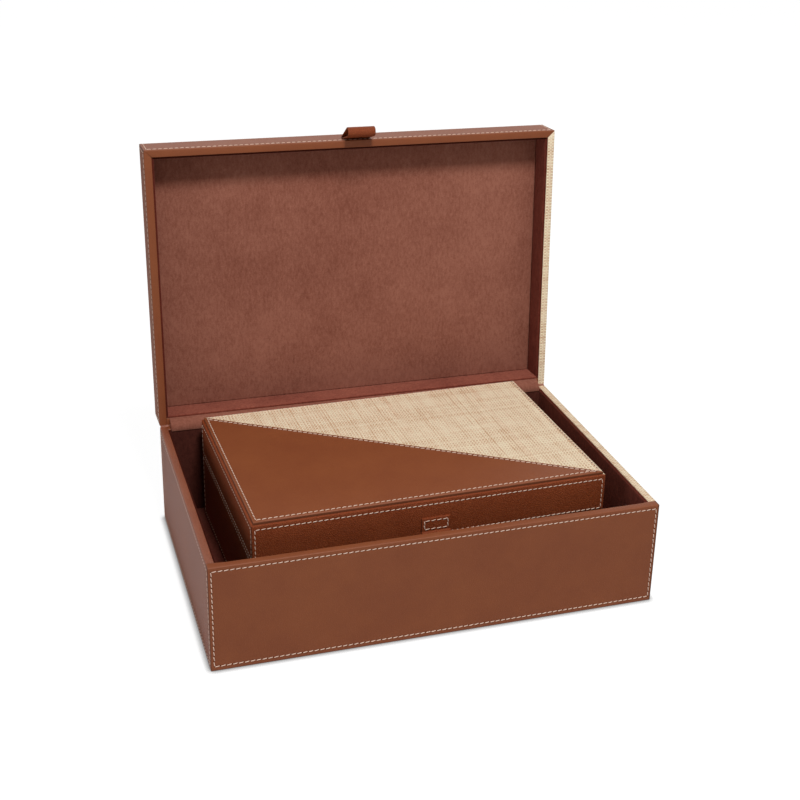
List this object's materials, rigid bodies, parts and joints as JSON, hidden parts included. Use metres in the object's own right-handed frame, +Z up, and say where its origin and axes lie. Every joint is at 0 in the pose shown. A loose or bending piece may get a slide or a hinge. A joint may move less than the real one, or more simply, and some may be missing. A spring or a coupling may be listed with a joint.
{
  "type": "stationery box",
  "caption": "Nested leather and woven raffia stationery box: a hinged lid box, open, with a smaller closed lid box inside it; suede lined.",
  "frame": {"origin": "middle of the large base's flat underside, on the surface it stands on", "axes": "+X to the right along the front, +Y from the front to the hinged back, +Z up"},
  "size_m": [0.406, 0.3224, 0.3866],
  "materials": {
    "leather": "smooth satin, saddle stitched",
    "raffia": "fine woven raffia",
    "suede": "matt suede lining",
    "board": "plain board under the covers"
  },
  "bodies": {
    "base": {"base_bottom_cover": "suede", "base_floor_board": "board", "base_floor_lining": "suede", "base_front_board": "board", "base_back_board": "board", "base_left_board": "board", "base_right_board": "board", "base_front_leather": "leather", "base_left_leather": "leather", "base_right_raffia": "raffia", "base_back_leather": "leather", "base_wall_lining": "suede", "hinge_leather": "leather", "hinge_suede": "suede"},
    "large_lid": {"lid_top_board": "board", "lid_top_leather": "leather", "lid_top_raffia": "raffia", "lid_panel_lining": "suede", "lid_front_board": "board", "lid_back_board": "board", "lid_left_board": "board", "lid_right_board": "board", "lid_front_leather": "leather", "lid_left_leather": "leather", "lid_right_raffia": "raffia", "lid_back_leather": "leather", "lid_wall_lining": "suede", "lid_pull_tab": "leather"},
    "small_box": {"small_bottom_cover": "suede", "small_floor_board": "board", "small_floor_lining": "suede", "small_front_board": "board", "small_back_board": "board", "small_left_board": "board", "small_right_board": "board", "small_front_leather": "leather", "small_left_leather": "leather", "small_right_raffia": "raffia", "small_back_leather": "leather", "small_wall_lining": "suede", "small_hinge_leather": "leather", "small_hinge_suede": "suede"},
    "small_lid": {"small_lid_top_board": "board", "small_lid_top_leather": "leather", "small_lid_top_raffia": "raffia", "small_lid_panel_lining": "suede", "small_lid_front_board": "board", "small_lid_back_board": "board", "small_lid_left_board": "board", "small_lid_right_board": "board", "small_lid_front_leather": "leather", "small_lid_left_leather": "leather", "small_lid_right_raffia": "raffia", "small_lid_back_leather": "leather", "small_lid_wall_lining": "suede", "small_lid_pull_tab": "leather"}
  },
  "joints": [
    {"name": "large_lid_hinge", "type": "hinge", "parent": "base", "child": "large_lid", "pos_m": [0, 0.136, 0.1004], "axis": [1, 0, 0], "range_deg": [0, 93], "deforming": ["hinge_suede", "hinge_leather"]},
    {"name": "small_box_lift", "type": "slide", "parent": "base", "child": "small_box", "axis": [0, -0.2, 0.9798], "range_m": [0, 0.15]},
    {"name": "small_lid_hinge", "type": "hinge", "parent": "small_box", "child": "small_lid", "pos_m": [-0.00122, 0.11936, 0.0774], "axis": [-0.9997, -0.026, 0], "range_deg": [0, 93], "deforming": ["small_hinge_leather", "small_hinge_suede"]}
  ],
  "couplings": [
    {"joint": "small_lid_hinge", "follows": "small_box_lift", "rad_per_m": 10.82}
  ]
}
